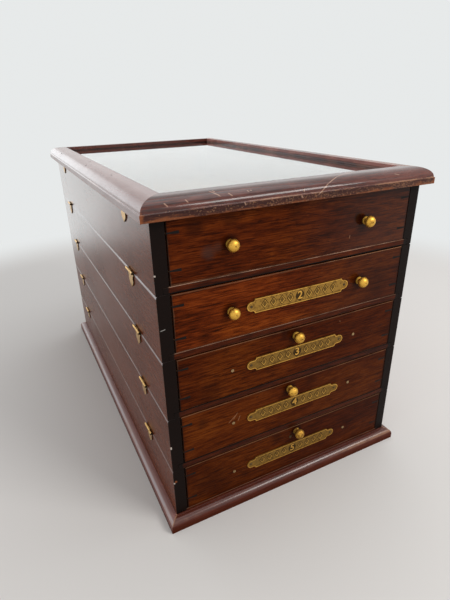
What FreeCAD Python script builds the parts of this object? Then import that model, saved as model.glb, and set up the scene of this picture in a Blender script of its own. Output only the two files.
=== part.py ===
import FreeCAD, Part
import math
import os

# Flatware storage box: a stack of open-topped tray cases on a moulded base, each case holding one
# dovetailed drawer, with a glazed lid on top. The lid and the cases are hinged along the left side.
# Millimetres, +Z up, drawer fronts facing -Y. The origin is the middle of the underside of the base.

# Carcase
body_width = 280.0
body_depth = 490.0
case_count = 5
case_height = 62.0
side_thickness = 12.0
case_bottom_thickness = 6.3
bottom_housing = 5.5
back_thickness = 10.0
side_edge_round = 1.8

# Drawers
drawer_side_gap = 0.8
drawer_under_gap = 0.2
drawer_top_gap = 1.3
drawer_back_gap = 6.0
front_thickness = 14.0
drawer_side_thickness = 10.5
drawer_back_thickness = 8.0
drawer_back_drop = 3.0
drawer_bottom_thickness = 5.0
drawer_bottom_lift = 3.0
groove_depth = 4.0
groove_end_gap = 0.4
pin_from_bottom = 12.8
pin_from_top = 10.6
pin_outer_height = 1.2
pin_inner_height = 2.6

# Knobs: two on each of the upper drawers, one on each of the others, near the top edge
two_knob_drawers = 2
knob_spread = 73.0
knob_from_top = 8.5
knob_3_shift = -1.8
knob_4_shift = -6.6
knob_5_shift = 5.1
knob_5_lift = 1.3
knob_collar_radius = 4.0
knob_collar_height = 1.6
knob_neck_radius = 2.5
knob_neck_length = 1.8
knob_head_radius = 5.6
knob_head_back = 2.6
knob_head_front = 4.6
knob_dimple_radius = 0.8
knob_dimple_depth = 0.6
knob_bolt_radius = 1.6
knob_bolt_end = 3.6
nut_sides = 6
nut_radius = 3.6
nut_height = 2.4

# Ends of earlier knob bolts, left in the lower drawer fronts
stub_stand = 0.5
stub_5_drop = 2.6
spare_stub_drawer = 5
spare_stub_shift = -2.7
spare_stub_from_top = 12.2

# Nameplates, from the second drawer down
first_plate_drawer = 2
plate_length = 115.0
plate_body_length = 100.0
plate_2_body_extra = 4.0
plate_height = 14.0
plate_tab_height = 9.0
plate_thickness = 1.3
plate_rim = 0.9
plate_sink = 0.35
plate_5_drop = 1.3
brad_radius = 0.7
brad_length = 8.0
brad_head_radius = 1.4
brad_head_height = 0.7

# Lid
lid_height = 16.0
lid_overhang = 9.0
lid_frame_width = 24.0
lid_fillet_height = 6.0
lid_quirk = 0.9
lid_quirk_height = 0.6
lid_curve_run = 14.6
lid_lip_width = 5.0
lid_lip_height = 6.0
lid_edge_round = 0.5
glass_thickness = 2.0
glass_edge_gap = 0.5
bead_edge_gap = 0.3
bead_seat_gap = 0.6
bead_chamfer = 1.0

# Base
base_seat = 9.5
base_moulding_height = 14.0
base_projection = 9.0
base_arris_width = 2.5
base_arris_height = 3.3
base_top_fall = 0.7
base_bead_width = 1.3
base_bead_drop = 0.9

# Hinges on the left side, a pair at each seam
hinge_inset = 72.0
hinge_length = 20.0
knuckle_radius = 1.3
middle_knuckle = 6.6
knuckle_end_gap = 0.1
hinge_clearance = 0.3
hinge_pin_radius = 0.6
pin_running_gap = 0.05
pin_fit_gap = 0.02
leaf_thickness = 1.0
leaf_shoulder = 2.0
leaf_screw_drop = 9.8
leaf_waist_half = 6.4
leaf_waist_rise = 2.8
leaf_hollow = 1.0
leaf_boss_half = 6.8
leaf_tail_half = 4.6
leaf_tail_fall = 3.0
leaf_tip_fall = 6.4
screw_head_radius = 2.1
screw_head_height = 0.6
screw_shank_radius = 1.1
screw_length = 9.0
slot_width = 0.5
slot_depth = 0.35
upper_leaf_thickness = 0.9
upper_leaf_reach = 8.5
upper_screw_spread = 5.4
upper_screw_radius = 1.7
upper_screw_sink = 0.6
upper_shank_radius = 0.9
upper_screw_length = 7.0

# Worked out from the sizes above
half_width = body_width / 2
half_depth = body_depth / 2
inner_half_width = half_width - side_thickness
stack_top = base_seat + case_count * case_height
drawer_height = case_height - case_bottom_thickness - drawer_under_gap - drawer_top_gap
drawer_half_width = inner_half_width - drawer_side_gap
drawer_length = body_depth - back_thickness - drawer_back_gap
knob_shift = {3: knob_3_shift, 4: knob_4_shift, 5: knob_5_shift}
knob_lift = {5: knob_5_lift}
stub_drop = {5: stub_5_drop}
plate_body_extra = {2: plate_2_body_extra}
plate_drop = {5: plate_5_drop}
hinge_axis_x = -half_width - knuckle_radius - hinge_clearance
axis_below_seam = knuckle_radius - upper_leaf_thickness
leaf_face_x = -half_width - leaf_thickness
brad_spread = plate_length / 2 - plate_tab_height / 2
plate_notch = (plate_height - plate_tab_height) / 2
hinge_places = (-half_depth + hinge_inset, half_depth - hinge_inset)

X = FreeCAD.Vector(1, 0, 0)
Y = FreeCAD.Vector(0, 1, 0)
Z = FreeCAD.Vector(0, 0, 1)

# Length of a curve's handles, as a share of its run, that makes a quarter of an ellipse
quarter = 4 / 3 * (math.sqrt(2) - 1)


def box(x_range, y_range, z_range):
    """A block between two values along each axis."""
    (x0, x1), (y0, y1), (z0, z1) = x_range, y_range, z_range
    return Part.makeBox(x1 - x0, y1 - y0, z1 - z0, FreeCAD.Vector(x0, y0, z0))


def rod(centre, direction, radius, length):
    """A round bar from a point, along a direction."""
    return Part.makeCylinder(radius, length, FreeCAD.Vector(*centre), direction)


def bend(start, end, along):
    """Quarter of an ellipse from start to end, setting off along the first (0) or second (1) axis."""
    run = (end[0] - start[0], end[1] - start[1])
    if along == 0:
        leave = (start[0] + quarter * run[0], start[1])
        arrive = (end[0], end[1] - quarter * run[1])
    else:
        leave = (start[0], start[1] + quarter * run[1])
        arrive = (end[0] - quarter * run[0], end[1])
    return (leave, arrive, end)


def arc(middle, end):
    """Circular arc from wherever the outline is, through a point, to an end."""
    return (middle, end)


def outline(place, start, *steps):
    """A flat closed face from a start point and steps: a point, an arc or a bend."""
    edges = []
    here = start
    for step in steps:
        points = step if isinstance(step[0], tuple) else (step,)
        corners = [place(*point) for point in (here,) + points]
        if len(points) == 1:
            edges.append(Part.LineSegment(*corners).toShape())
        elif len(points) == 2:
            edges.append(Part.Arc(*corners).toShape())
        else:
            curve = Part.BezierCurve()
            curve.setPoles(corners)
            edges.append(curve.toShape())
        here = points[-1]
    return Part.Face(Part.Wire(edges))


def mirror_x(shape):
    """The same shape on the other side of the middle plane of the width."""
    return shape.mirror(FreeCAD.Vector(0, 0, 0), X)


def mirror_y(shape):
    """The same shape at the other end of the depth."""
    return shape.mirror(FreeCAD.Vector(0, 0, 0), Y)


def save(node, shapes):
    """Write one node, as a single solid or as several side by side."""
    solids = [solid for shape in shapes for solid in shape.Solids]
    result = solids[0] if len(solids) == 1 else Part.makeCompound(solids)
    result.exportStep(os.path.join("parts", node + ".step"))


def case_floor(number):
    """Height of the underside of a case, counted from 1 at the top."""
    return base_seat + (case_count - number) * case_height


def mitred_bars(profile, half_x, half_y, width):
    """The rails (front, rear) and the stiles (left, right) of a frame with mitred corners.

    profile draws the section, given where it puts a point so far inward and so far up.
    """
    inner_x = half_x - width
    inner_y = half_y - width

    def mitred(section, direction, corners):
        bar = section.extrude(direction)
        low = bar.BoundBox.ZMin
        plan = Part.Face(Part.makePolygon([FreeCAD.Vector(x, y, low) for x, y in corners + corners[:1]]))
        return bar.common(plan.extrude(Z * bar.BoundBox.ZLength))

    front = mitred(
        profile(lambda inward, up: FreeCAD.Vector(-half_x, -half_y + inward, up)),
        X * (2 * half_x),
        [(-half_x, -half_y), (half_x, -half_y), (inner_x, -inner_y), (-inner_x, -inner_y)],
    )
    left = mitred(
        profile(lambda inward, up: FreeCAD.Vector(-half_x + inward, -half_y, up)),
        Y * (2 * half_y),
        [(-half_x, -half_y), (-inner_x, -inner_y), (-inner_x, inner_y), (-half_x, half_y)],
    )
    return [front, mirror_y(front)], [left, mirror_x(left)]


# Hinges

def seam_axis(seam):
    """Height of the hinge axis at a seam."""
    return seam - axis_below_seam


def knuckle(y0, y1, axis_z, radius):
    """A round length of the barrel, between two places along the depth."""
    return rod((hinge_axis_x, y0, axis_z), Y, radius, y1 - y0)


def leaf_outline(y_mid, axis_z):
    """Face of the shaped leaf: square shoulders, hollow sides, a round boss and a pointed tail."""
    half = hinge_length / 2
    waist_drop = leaf_screw_drop - leaf_waist_rise
    tail_drop = leaf_screw_drop + leaf_tail_fall
    hollow_half = (half + leaf_waist_half) / 2 - leaf_hollow / 2
    hollow_drop = (leaf_shoulder + waist_drop) / 2 - leaf_hollow / 4
    return outline(
        lambda y, drop: FreeCAD.Vector(leaf_face_x, y_mid + y, axis_z - drop),
        (-half, 0.0),
        (half, 0.0),
        (half, leaf_shoulder),
        arc((hollow_half, hollow_drop), (leaf_waist_half, waist_drop)),
        arc((leaf_boss_half, leaf_screw_drop), (leaf_tail_half, tail_drop)),
        (0.0, leaf_screw_drop + leaf_tip_fall),
        (-leaf_tail_half, tail_drop),
        arc((-leaf_boss_half, leaf_screw_drop), (-leaf_waist_half, waist_drop)),
        arc((-hollow_half, hollow_drop), (-half, leaf_shoulder)),
        (-half, 0.0),
    )


def lower_leaf(y_mid, axis_z):
    """The leaf on the face of the case below, with the two outer knuckles."""
    half = hinge_length / 2
    inner = middle_knuckle / 2 + knuckle_end_gap
    leaf = leaf_outline(y_mid, axis_z).extrude(X * leaf_thickness)
    leaf = leaf.cut(knuckle(y_mid - inner, y_mid + inner, axis_z, knuckle_radius + hinge_clearance))
    leaf = leaf.fuse(knuckle(y_mid - half, y_mid - inner, axis_z, knuckle_radius))
    leaf = leaf.fuse(knuckle(y_mid + inner, y_mid + half, axis_z, knuckle_radius))
    leaf = leaf.cut(knuckle(y_mid - half, y_mid + half, axis_z, hinge_pin_radius + pin_fit_gap))
    hole = rod((leaf_face_x, y_mid, axis_z - leaf_screw_drop), X, screw_shank_radius, leaf_thickness)
    return leaf.cut(hole).removeSplitter()


def dome(centre, direction, radius, height):
    """A low domed head that stands on a point, towards a direction."""
    base = FreeCAD.Vector(*centre)
    ball_radius = (radius ** 2 + height ** 2) / (2 * height)
    ball = Part.makeSphere(ball_radius, base + direction * (height - ball_radius))
    return ball.common(rod(centre, direction, radius, height))


def leaf_screw(y_mid, axis_z):
    """Round-headed screw through the boss of the shaped leaf."""
    z = axis_z - leaf_screw_drop
    head = dome((leaf_face_x, y_mid, z), -X, screw_head_radius, screw_head_height)
    slot_floor = leaf_face_x - screw_head_height + slot_depth
    slot = box((leaf_face_x - screw_head_height, slot_floor),
               (y_mid - screw_head_radius, y_mid + screw_head_radius),
               (z - slot_width / 2, z + slot_width / 2))
    return head.cut(slot).fuse(rod((leaf_face_x, y_mid, z), X, screw_shank_radius, screw_length))


def hinge_fixed(seam):
    """The two shaped leaves of a seam, with their pins and screws."""
    axis_z = seam_axis(seam)
    half = hinge_length / 2
    solids = []
    for y in hinge_places:
        solids.append(lower_leaf(y, axis_z))
        solids.append(knuckle(y - half, y + half, axis_z, hinge_pin_radius))
        solids.append(leaf_screw(y, axis_z))
    return solids


def upper_leaf(y_mid, seam):
    """The flat leaf let into the underside of what is above, with the middle knuckle."""
    axis_z = seam_axis(seam)
    half = hinge_length / 2
    web_half = middle_knuckle / 2
    inner_x = -half_width + upper_leaf_reach
    depth = (seam, seam + upper_leaf_thickness)
    leaf = box((-half_width, inner_x), (y_mid - half, y_mid + half), depth)
    leaf = leaf.fuse(box((hinge_axis_x, inner_x), (y_mid - web_half, y_mid + web_half), depth))
    leaf = leaf.fuse(knuckle(y_mid - web_half, y_mid + web_half, axis_z, knuckle_radius))
    leaf = leaf.cut(knuckle(y_mid - half, y_mid + half, axis_z, hinge_pin_radius + pin_running_gap))
    for screw in upper_screws(y_mid, seam):
        leaf = leaf.cut(screw)
    return leaf.removeSplitter()


def upper_screws(y_mid, seam):
    """Countersunk screws that hold the flat leaf up into the wood."""
    x = -half_width + upper_leaf_reach / 2
    screws = []
    for y in (y_mid - upper_screw_spread, y_mid + upper_screw_spread):
        place = FreeCAD.Vector(x, y, seam)
        head = Part.makeCone(upper_screw_radius, upper_shank_radius, upper_screw_sink, place, Z)
        screws.append(head.fuse(rod((x, y, seam), Z, upper_shank_radius, upper_screw_length)))
    return screws


def hinge_moving(seam):
    """The two flat leaves of a seam, with their screws."""
    leaves = [upper_leaf(y, seam) for y in hinge_places]
    screws = [screw for y in hinge_places for screw in upper_screws(y, seam)]
    return leaves + screws


def hinge_mortises(seam):
    """Room in the underside above a seam for the flat leaves and their screws."""
    room = []
    half = hinge_length / 2
    for y in hinge_places:
        reach = (hinge_axis_x, -half_width + upper_leaf_reach)
        room.append(box(reach, (y - half, y + half), (seam, seam + upper_leaf_thickness)))
        room.extend(upper_screws(y, seam))
    return room


def barrel_grooves(seam):
    """Grooves for the barrels, in an underside that reaches out past the side."""
    half = hinge_length / 2 + hinge_clearance
    radius = knuckle_radius + hinge_clearance
    return [knuckle(y - half, y + half, seam_axis(seam), radius) for y in hinge_places]


def leaf_screw_holes(seam):
    """Holes in the side of the case for the screws of the shaped leaves."""
    z = seam_axis(seam) - leaf_screw_drop
    depth = screw_length - leaf_thickness
    return [rod((-half_width, y, z), X, screw_shank_radius, depth) for y in hinge_places]


# Cases

def case_side(floor):
    """Left side board: its section has a rebate for the bottom and a rounded upper outer edge."""
    top = floor + case_height
    inner = -inner_half_width
    edge_in = (-half_width + side_edge_round, top)
    edge_down = (-half_width, top - side_edge_round)
    section = outline(
        lambda x, z: FreeCAD.Vector(x, -half_depth, z),
        (-half_width, floor),
        (inner - bottom_housing, floor),
        (inner - bottom_housing, floor + case_bottom_thickness),
        (inner, floor + case_bottom_thickness),
        (inner, top),
        edge_in,
        bend(edge_in, edge_down, 0),
        (-half_width, floor),
    )
    return section.extrude(Y * body_depth)


def case_parts(number):
    """Boards of one case: its two sides, its bottom and its back."""
    floor = case_floor(number)
    top = floor + case_height
    inside_floor = floor + case_bottom_thickness
    housed = inner_half_width + bottom_housing
    left = case_side(floor)
    right = mirror_x(left)
    bottom = box((-housed, housed), (-half_depth, half_depth), (floor, inside_floor))
    back = box((-inner_half_width, inner_half_width), (half_depth - back_thickness, half_depth),
               (inside_floor, top))
    for hole in leaf_screw_holes(top):
        left = left.cut(hole)
    if number < case_count:
        for room in hinge_mortises(floor):
            left = left.cut(room)
            bottom = bottom.cut(room)
    save("case_%d_sides" % number, [left, right])
    save("case_%d_bottom" % number, [bottom])
    save("case_%d_back" % number, [back])


# Drawers

def needle_pin(floor, mid_height):
    """One needle pin at the left front corner: a wedge, thinnest at the outer face."""
    outer = -drawer_half_width
    inner = outer + drawer_side_thickness
    wedge = outline(
        lambda x, height: FreeCAD.Vector(x, -half_depth, floor + mid_height + height),
        (outer, -pin_outer_height / 2),
        (inner, -pin_inner_height / 2),
        (inner, pin_inner_height / 2),
        (outer, pin_outer_height / 2),
        (outer, -pin_outer_height / 2),
    )
    return wedge.extrude(Y * front_thickness)


def knob(x, z):
    """A turned knob with its bolt: domed collar, neck, and a button head with a centre dimple."""
    head_start = knob_collar_height + knob_neck_length
    widest = head_start + knob_head_back
    front = widest + knob_head_front
    bolt_tip = -front_thickness - knob_bolt_end
    collar_edge = (knob_collar_radius, 0.0)
    neck_back = (knob_neck_radius, knob_collar_height)
    neck_front = (knob_neck_radius, head_start)
    rim = (knob_head_radius, widest)
    dimple_edge = (knob_dimple_radius, front)
    profile = outline(
        lambda radius, out: FreeCAD.Vector(x + radius, -half_depth - out, z),
        (0.0, bolt_tip),
        (knob_bolt_radius, bolt_tip),
        (knob_bolt_radius, 0.0),
        collar_edge,
        bend(collar_edge, neck_back, 1),
        neck_front,
        bend(neck_front, rim, 0),
        bend(rim, dimple_edge, 1),
        (0.0, front - knob_dimple_depth),
        (0.0, bolt_tip),
    )
    return profile.revolve(FreeCAD.Vector(x, 0, z), Y, 360)


def knob_nut(x, z):
    """The nut on the knob's bolt, inside the drawer."""
    y = -half_depth + front_thickness
    spoke = X * nut_radius
    turns = [FreeCAD.Rotation(Y, 360 * side / nut_sides) for side in range(nut_sides + 1)]
    corners = [FreeCAD.Vector(x, y, z) + turn.multVec(spoke) for turn in turns]
    body = Part.Face(Part.makePolygon(corners)).extrude(Y * nut_height)
    return body.cut(rod((x, y, z), Y, knob_bolt_radius, nut_height))


def bolt_end(x, z):
    """What is left of an earlier knob: a bolt cut off just in front of the drawer front."""
    return rod((x, -half_depth - stub_stand, z), Y, knob_bolt_radius, front_thickness + stub_stand)


def plate_blank(number, z, inset, depth):
    """A nameplate's form, drawn in all round by an inset: hollow corners and a rounded tab each end."""
    y = -half_depth - plate_thickness
    half = (plate_body_length + plate_body_extra.get(number, 0.0)) / 2
    half_height = plate_height / 2
    tab = plate_tab_height / 2 - inset
    through = (y, y + depth)
    blank = box((inset - half, half - inset), through, (z - half_height + inset, z + half_height - inset))
    for corner_x in (-half, half):
        for corner_z in (z - half_height, z + half_height):
            blank = blank.cut(rod((corner_x, y, corner_z), Y, plate_notch + inset, depth))
    blank = blank.fuse(box((-brad_spread, brad_spread), through, (z - tab, z + tab)))
    for x in (-brad_spread, brad_spread):
        blank = blank.fuse(rod((x, y, z), Y, tab, depth))
    return blank.removeSplitter()


def nameplate(number, z):
    """A nameplate with a raised rim round a sunk ground."""
    plate = plate_blank(number, z, 0.0, plate_thickness).cut(plate_blank(number, z, plate_rim, plate_sink))
    for x in (-brad_spread, brad_spread):
        plate = plate.cut(rod((x, -half_depth - plate_thickness, z), Y, brad_radius, plate_thickness))
    return plate


def brad(x, z):
    """A small dome-headed nail through the end of a nameplate."""
    face_y = -half_depth - plate_thickness + plate_sink
    head = dome((x, face_y, z), -Y, brad_head_radius, brad_head_height)
    return head.fuse(rod((x, face_y, z), Y, brad_radius, brad_length))


def fitting_places(number, floor):
    """Where the knobs and the old bolt ends of a drawer front are, as x and z."""
    top = floor + drawer_height
    middle = floor + drawer_height / 2
    if number <= two_knob_drawers:
        return [(-knob_spread, middle), (knob_spread, middle)], []
    knobs = [(knob_shift.get(number, 0.0), top - knob_from_top + knob_lift.get(number, 0.0))]
    row = middle - stub_drop.get(number, 0.0)
    stubs = [(-knob_spread, row), (knob_spread, row)]
    if number == spare_stub_drawer:
        stubs.append((spare_stub_shift, top - spare_stub_from_top))
    return knobs, stubs


def drawer_parts(number):
    """Boards, knobs, plate and old bolt ends of one drawer."""
    floor = case_floor(number) + case_bottom_thickness + drawer_under_gap
    top = floor + drawer_height
    inside_y = front_thickness - half_depth
    rear_y = drawer_length - half_depth
    side_inner = drawer_half_width - drawer_side_thickness
    groove_x = side_inner + groove_depth
    panel_x = groove_x - groove_end_gap
    groove_y = inside_y - groove_depth
    lifted = (floor + drawer_bottom_lift, floor + drawer_bottom_lift + drawer_bottom_thickness)
    knobs, stubs = fitting_places(number, floor)

    groove = box((-groove_x, groove_x), (groove_y, rear_y), lifted)
    front = box((-drawer_half_width, drawer_half_width), (-half_depth, inside_y), (floor, top)).cut(groove)
    side = box((-drawer_half_width, -side_inner), (inside_y, rear_y), (floor, top)).cut(groove)
    back = box((-side_inner, side_inner), (rear_y - drawer_back_thickness, rear_y),
               (lifted[1], top - drawer_back_drop))
    panel = box((-panel_x, panel_x), (groove_y + groove_end_gap, rear_y), lifted)
    for height in (pin_from_bottom, drawer_height - pin_from_top):
        pin = needle_pin(floor, height)
        side = side.fuse(pin)
        front = front.cut(pin).cut(mirror_x(pin))
    side = side.removeSplitter()
    for x, z in knobs + stubs:
        front = front.cut(rod((x, -half_depth, z), Y, knob_bolt_radius, front_thickness))
    if number >= first_plate_drawer:
        plate_z = floor + drawer_height / 2 - plate_drop.get(number, 0.0)
        brads = [brad(x, plate_z) for x in (-brad_spread, brad_spread)]
        for nail in brads:
            front = front.cut(nail)
        save("nameplate_%d" % number, [nameplate(number, plate_z)])
        save("drawer_%d_pins" % number, brads + [bolt_end(x, z) for x, z in stubs])
    save("drawer_%d_front" % number, [front])
    save("drawer_%d_boards" % number, [side, mirror_x(side), back])
    save("drawer_%d_bottom" % number, [panel])
    save("drawer_%d_knobs" % number, [knob(x, z) for x, z in knobs] + [knob_nut(x, z) for x, z in knobs])


# Lid

def lid_profile(place):
    """Section of the lid frame: fillet, quirk, thumb curve and flat top, with a rebate for the glass."""
    edge_in = (lid_edge_round, stack_top)
    edge_up = (0.0, stack_top + lid_edge_round)
    fillet_top = stack_top + lid_fillet_height
    curve_start = (lid_quirk, fillet_top + lid_quirk_height)
    curve_end = (lid_quirk + lid_curve_run, stack_top + lid_height)
    lip_underside = stack_top + lid_height - lid_lip_height
    rebate = lid_frame_width - lid_lip_width
    return outline(
        place,
        edge_in,
        bend(edge_in, edge_up, 0),
        (0.0, fillet_top),
        curve_start,
        bend(curve_start, curve_end, 1),
        (lid_frame_width, stack_top + lid_height),
        (lid_frame_width, lip_underside),
        (rebate, lip_underside),
        (rebate, stack_top),
        edge_in,
    )


def bead_profile(place):
    """Section of the strips that hold the glass up in its rebate."""
    low = stack_top + bead_seat_gap
    high = stack_top + lid_height - lid_lip_height - glass_thickness
    width = lid_lip_width - bead_edge_gap
    return outline(
        place,
        (0.0, low),
        (width - bead_chamfer, low),
        (width, low + bead_chamfer),
        (width, high),
        (0.0, high),
        (0.0, low),
    )


def lid_parts():
    """Lid frame bars, glazing beads and glass."""
    outer_x = half_width + lid_overhang
    outer_y = half_depth + lid_overhang
    rebate = lid_frame_width - lid_lip_width
    rails, stiles = mitred_bars(lid_profile, outer_x, outer_y, lid_frame_width)
    for room in hinge_mortises(stack_top) + barrel_grooves(stack_top):
        stiles[0] = stiles[0].cut(room)
    bead_rails, bead_stiles = mitred_bars(bead_profile, outer_x - rebate, outer_y - rebate, lid_lip_width)
    glass_x = outer_x - rebate - glass_edge_gap
    glass_y = outer_y - rebate - glass_edge_gap
    glass_top = stack_top + lid_height - lid_lip_height
    glass = box((-glass_x, glass_x), (-glass_y, glass_y), (glass_top - glass_thickness, glass_top))
    save("lid_rails", rails)
    save("lid_stiles", stiles)
    save("lid_beads", bead_rails + bead_stiles)
    save("lid_glass", [glass])


# Base

def base_profile(place):
    """Section of the base moulding: plain face, rounded arris, rising top and a small bead at the wall."""
    shelf = base_moulding_height - base_bead_drop
    bead_start = base_projection - base_bead_width
    arris_top = (base_arris_width, shelf - base_top_fall)
    arris_foot = (0.0, arris_top[1] - base_arris_height)
    return outline(
        place,
        (0.0, 0.0),
        arris_foot,
        bend(arris_foot, arris_top, 1),
        (bead_start, shelf),
        (bead_start, base_moulding_height),
        (base_projection, base_moulding_height),
        (base_projection, 0.0),
        (0.0, 0.0),
    )


def base_parts():
    """The base board and the mitred moulding round it."""
    board = box((-half_width, half_width), (-half_depth, half_depth), (0.0, base_seat))
    outer_x = half_width + base_projection
    outer_y = half_depth + base_projection
    rails, stiles = mitred_bars(base_profile, outer_x, outer_y, base_projection)
    save("base_board", [board])
    save("base_rails", rails)
    save("base_stiles", stiles)


def build():
    """Write every node of the box."""
    os.makedirs("parts", exist_ok=True)
    base_parts()
    for number in range(1, case_count + 1):
        case_parts(number)
        drawer_parts(number)
    lid_parts()
    for number in range(case_count):
        seam = stack_top - number * case_height
        name = "hinge_%d" % number if number else "hinge_lid"
        save(name + "_fixed", hinge_fixed(seam))
        save(name + "_moving", hinge_moving(seam))


build()
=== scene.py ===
import bpy
import math
from bpy.props import FloatProperty, FloatVectorProperty, IntProperty, PointerProperty
from collections import namedtuple
from mathutils import Matrix, Vector


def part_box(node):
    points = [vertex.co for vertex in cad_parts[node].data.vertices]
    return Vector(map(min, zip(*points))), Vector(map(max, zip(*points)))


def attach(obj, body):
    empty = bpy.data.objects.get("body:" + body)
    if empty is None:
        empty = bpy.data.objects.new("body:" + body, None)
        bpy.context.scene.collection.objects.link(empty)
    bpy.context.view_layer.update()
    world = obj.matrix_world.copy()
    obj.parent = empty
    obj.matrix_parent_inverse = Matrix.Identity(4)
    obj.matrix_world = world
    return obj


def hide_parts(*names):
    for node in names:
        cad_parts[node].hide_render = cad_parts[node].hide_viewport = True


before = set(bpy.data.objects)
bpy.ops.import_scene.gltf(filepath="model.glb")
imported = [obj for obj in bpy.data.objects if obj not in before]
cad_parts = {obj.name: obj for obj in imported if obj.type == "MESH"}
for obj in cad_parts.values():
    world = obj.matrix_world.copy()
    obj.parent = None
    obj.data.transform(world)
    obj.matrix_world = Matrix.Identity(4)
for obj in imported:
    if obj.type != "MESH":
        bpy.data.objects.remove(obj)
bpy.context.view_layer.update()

bl_info = {
    "name": "Flatware Box",
    "version": (1, 0, 0),
    "blender": (4, 5, 0),
    "location": "View3D > Sidebar > Flatware Box",
    "description": "Dresses a hinged mahogany flatware box: wood, brass, glass and a studio stage",
    "category": "Object",
}

MM = 0.001
CASES = range(1, 6)
LOWEST_CASE = 5
PAIRED_KNOBS = (1, 2)

# Sections of the boards and mouldings, in millimetres
SIDE_X = 140.0
SIDE_INNER_X = 128.0
SEAT_X = 133.5
SEAT_HEIGHT = 6.3
FRAME_HALF_X = 149.0
FRAME_HALF_Y = 254.0

# Where pieces lie, in metres
FRONT_Y = -0.245
PLATE_GROUND_Y = -0.24595
QUIRK_Z = 0.3255
GLASS_TOP_Z = 0.3295
LID_INNER_X = 0.125
KNOB_SPREAD = 0.073
HINGE_PLACES = (-0.173, 0.173)
HINGE_HALF = 0.010
HINGE_X = -0.1416
HINGE_DROP = 0.0004
LEAF_INNER_X = -0.1315
LEAF_DEPTH = 0.0009
LEAF_GAP = 0.0005
GROOVE_RADIUS = 0.0016

# Limits for picking edges: turns between faces, and lengths in metres
BOARD_TURN = math.radians(30.0)
MITRE_TURN = math.radians(25.0)
SMOOTH_TURN = math.radians(40.0)
SHORTEST_EDGE = 0.020
TOUCH = 0.00001


# Settings that a user would change

def colour(name, text, default):
    """A colour setting, in linear light."""
    return FloatVectorProperty(name=name, description=text, default=default, size=3, min=0.0, max=1.0,
                               subtype="COLOR")


def length(name, text, millimetres):
    """A length setting, kept in metres."""
    return FloatProperty(name=name, description=text, default=millimetres * MM, min=0.0, precision=5,
                         unit="LENGTH")


def share(name, text, default):
    """A setting from none to all."""
    return FloatProperty(name=name, description=text, default=default, min=0.0, max=1.0, subtype="FACTOR")


def power(name, text, default):
    """The power of a lamp."""
    return FloatProperty(name=name, description=text, default=default, min=0.0, subtype="POWER")


def angle(name, text, degrees):
    """An angle setting, kept in radians."""
    return FloatProperty(name=name, description=text, default=math.radians(degrees), subtype="ANGLE",
                         unit="ROTATION")


class WoodSettings(bpy.types.PropertyGroup):
    """Colours and gloss of the polished mahogany and of the plain inner wood."""

    front_dark: colour("Front, dark", "Darkest streaks of the drawer fronts", (0.016, 0.0032, 0.0012))
    front_mid: colour("Front, middle", "Main tone of the drawer fronts", (0.062, 0.0095, 0.0014))
    front_light: colour("Front, light", "Lightest streaks of the drawer fronts", (0.120, 0.0225, 0.0032))
    amber_mid: colour("Amber, middle", "Main tone where the polish is amber", (0.096, 0.0170, 0.0018))
    amber_light: colour("Amber, light", "Lightest streaks in the amber patches", (0.180, 0.0430, 0.0050))
    case_dark: colour("Case, dark", "Darkest streaks of the case sides", (0.060, 0.015, 0.007))
    case_mid: colour("Case, middle", "Main tone of the case sides", (0.140, 0.035, 0.015))
    case_light: colour("Case, light", "Lightest streaks of the case sides", (0.205, 0.060, 0.027))
    plum_dark: colour("Moulding, dark", "Darkest streaks of the mouldings", (0.022, 0.008, 0.007))
    plum_mid: colour("Moulding, middle", "Main tone of the mouldings", (0.086, 0.020, 0.013))
    plum_light: colour("Moulding, light", "Lightest streaks of the mouldings", (0.145, 0.038, 0.024))
    bare: colour("Worn wood", "Bare wood where edges are rubbed through", (0.370, 0.185, 0.095))
    chip: colour("Chipped wood", "Fresh red-brown wood in a chip", (0.240, 0.072, 0.024))
    nick: colour("Nick", "Pale wood in the nicks of the front corner", (0.60, 0.52, 0.46))
    dash: colour("Dash", "Grey scratch across the end of one side", (0.42, 0.40, 0.38))
    # Painted sheen: a pale reflection painted along the side ledges (partly rubbed polish there), the left
    # arris of the base and low on the right lid moulding's inner face
    rubbed_ledge: colour("Rubbed ledge", "Polish rubbed pale along ledges", (0.560, 0.520, 0.550))
    worn_line: colour("Worn line", "Polish rubbed through along thin edges", (0.480, 0.290, 0.200))
    # Partly sun-paled polish and partly painted sheen: laid over the left mouldings of the base and lid, and
    # stronger on the right lid moulding's inner face
    faded: colour("Faded", "Rosy tone where the sun has bleached the polish", (0.300, 0.140, 0.125))
    bruise: colour("Bruise", "Grey bloom in the polish where it was wet", (0.040, 0.026, 0.022))
    # Real stained end grain, and also painted shade: in the seam under the first rail, along the tops of
    # rails without a worn line, in the gaps at the ends of the drawer fronts and by the glass on the lid's
    # rear moulding
    blackened: colour("Blackened ends", "Stained end grain of the case sides", (0.0055, 0.0036, 0.0030))
    lining_dark: colour("Lining, dark", "Dark streaks of the drawer linings", (0.150, 0.075, 0.034))
    lining_light: colour("Lining, light", "Light streaks of the drawer linings", (0.360, 0.205, 0.100))
    gloss: share("Roughness of the polish", "How blurred the polish mirrors its surroundings", 0.26)
    lacquer: share("Roughness of the top coat", "How blurred the bright top coat mirrors", 0.13)
    arris: length("Softened edge", "Width of the worn round along board edges", 0.5)
    ledge: length("Ledge", "Round along the upper outer edge of each side", 1.8)
    mitre: length("Mitre edge", "Width of the fine groove where mitred bars meet", 0.18)


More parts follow.
